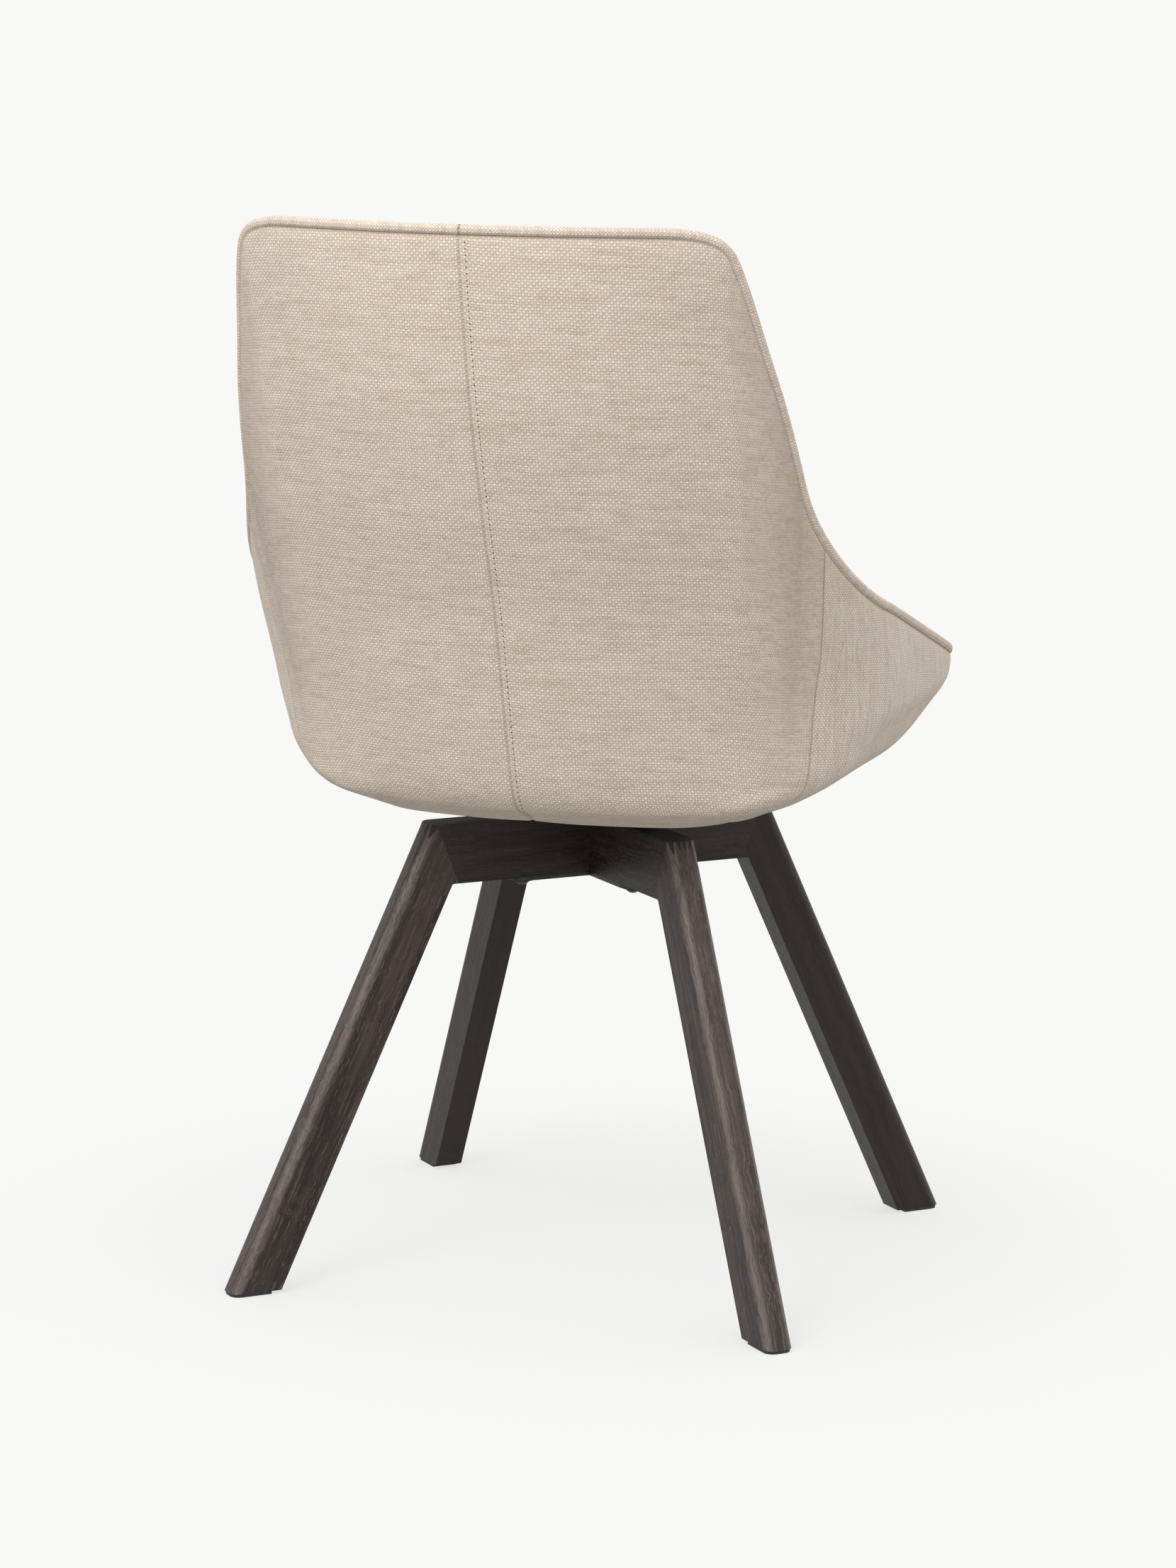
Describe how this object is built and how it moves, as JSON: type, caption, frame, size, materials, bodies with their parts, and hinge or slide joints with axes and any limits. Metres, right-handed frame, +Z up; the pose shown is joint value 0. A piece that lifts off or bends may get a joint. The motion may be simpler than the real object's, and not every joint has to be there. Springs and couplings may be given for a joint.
{
  "type": "swivel dining chair",
  "caption": "Upholstered bucket seat that swivels on a ball bearing over a dark wooden frame of splayed, finger-jointed legs.",
  "frame": {"origin": "on the floor, on the swivel's axis, midway between the four glides", "axes": "+Z up along the swivel's axis, +X to the sitter's left, +Y to the back; the sitter faces -Y"},
  "size_m": [0.5352, 0.5903, 0.8762],
  "materials": {
    "dark_wood": "dark stain, satin lacquer",
    "black_plastic": "matte",
    "black_steel": "black powder coat",
    "zinc_steel": "zinc plated",
    "bearing_steel": "ground",
    "bronze": "plain",
    "black_cloth": "non-woven cloth",
    "moulded_shell": "moulded, hidden",
    "outer_fabric": "basket weave with slubs",
    "inner_fabric": "basket weave with slubs",
    "piping_fabric": "bias-cut basket weave"
  },
  "bodies": {
    "base": {"leg_rear_left": "dark_wood", "rail_rear_left": "dark_wood", "glide_rear_left": "black_plastic", "leg_rear_right": "dark_wood", "rail_rear_right": "dark_wood", "glide_rear_right": "black_plastic", "leg_front_right": "dark_wood", "rail_front_right": "dark_wood", "glide_front_right": "black_plastic", "leg_front_left": "dark_wood", "rail_front_left": "dark_wood", "glide_front_left": "black_plastic", "glide_nails": "zinc_steel", "cross_plate": "black_steel", "frame_washers": "black_steel", "frame_bolts": "black_steel", "frame_nuts": "zinc_steel", "swivel_base_plate": "black_steel", "lower_race": "bearing_steel", "pivot_pin": "zinc_steel", "pivot_washer": "zinc_steel", "pivot_nut": "zinc_steel"},
    "bearing": {"bearing_balls": "bearing_steel", "ball_cage": "black_plastic"},
    "seat": {"upper_race": "bearing_steel", "pivot_bush": "bronze", "swivel_top_plate": "black_steel", "seat_screws": "black_steel", "tee_nuts": "zinc_steel", "dust_cover": "black_cloth", "seat_shell": "moulded_shell", "seat_cushion": "inner_fabric", "welt": "piping_fabric", "inner_back_pad": "inner_fabric", "back_cover_left": "outer_fabric", "side_cover_left": "outer_fabric", "inner_side_pad_left": "inner_fabric", "back_cover_right": "outer_fabric", "side_cover_right": "outer_fabric", "inner_side_pad_right": "inner_fabric"}
  },
  "joints": [
    {"name": "seat_swivel", "type": "hinge", "parent": "base", "child": "seat", "pos_m": [0, 0, 0.385], "axis": [0, 0, 1], "continuous": true},
    {"name": "cage_orbit", "type": "hinge", "parent": "base", "child": "bearing", "pos_m": [0, 0, 0.385], "axis": [0, 0, 1], "continuous": true}
  ],
  "couplings": [
    {"joint": "cage_orbit", "follows": "seat_swivel", "ratio": 0.5}
  ]
}
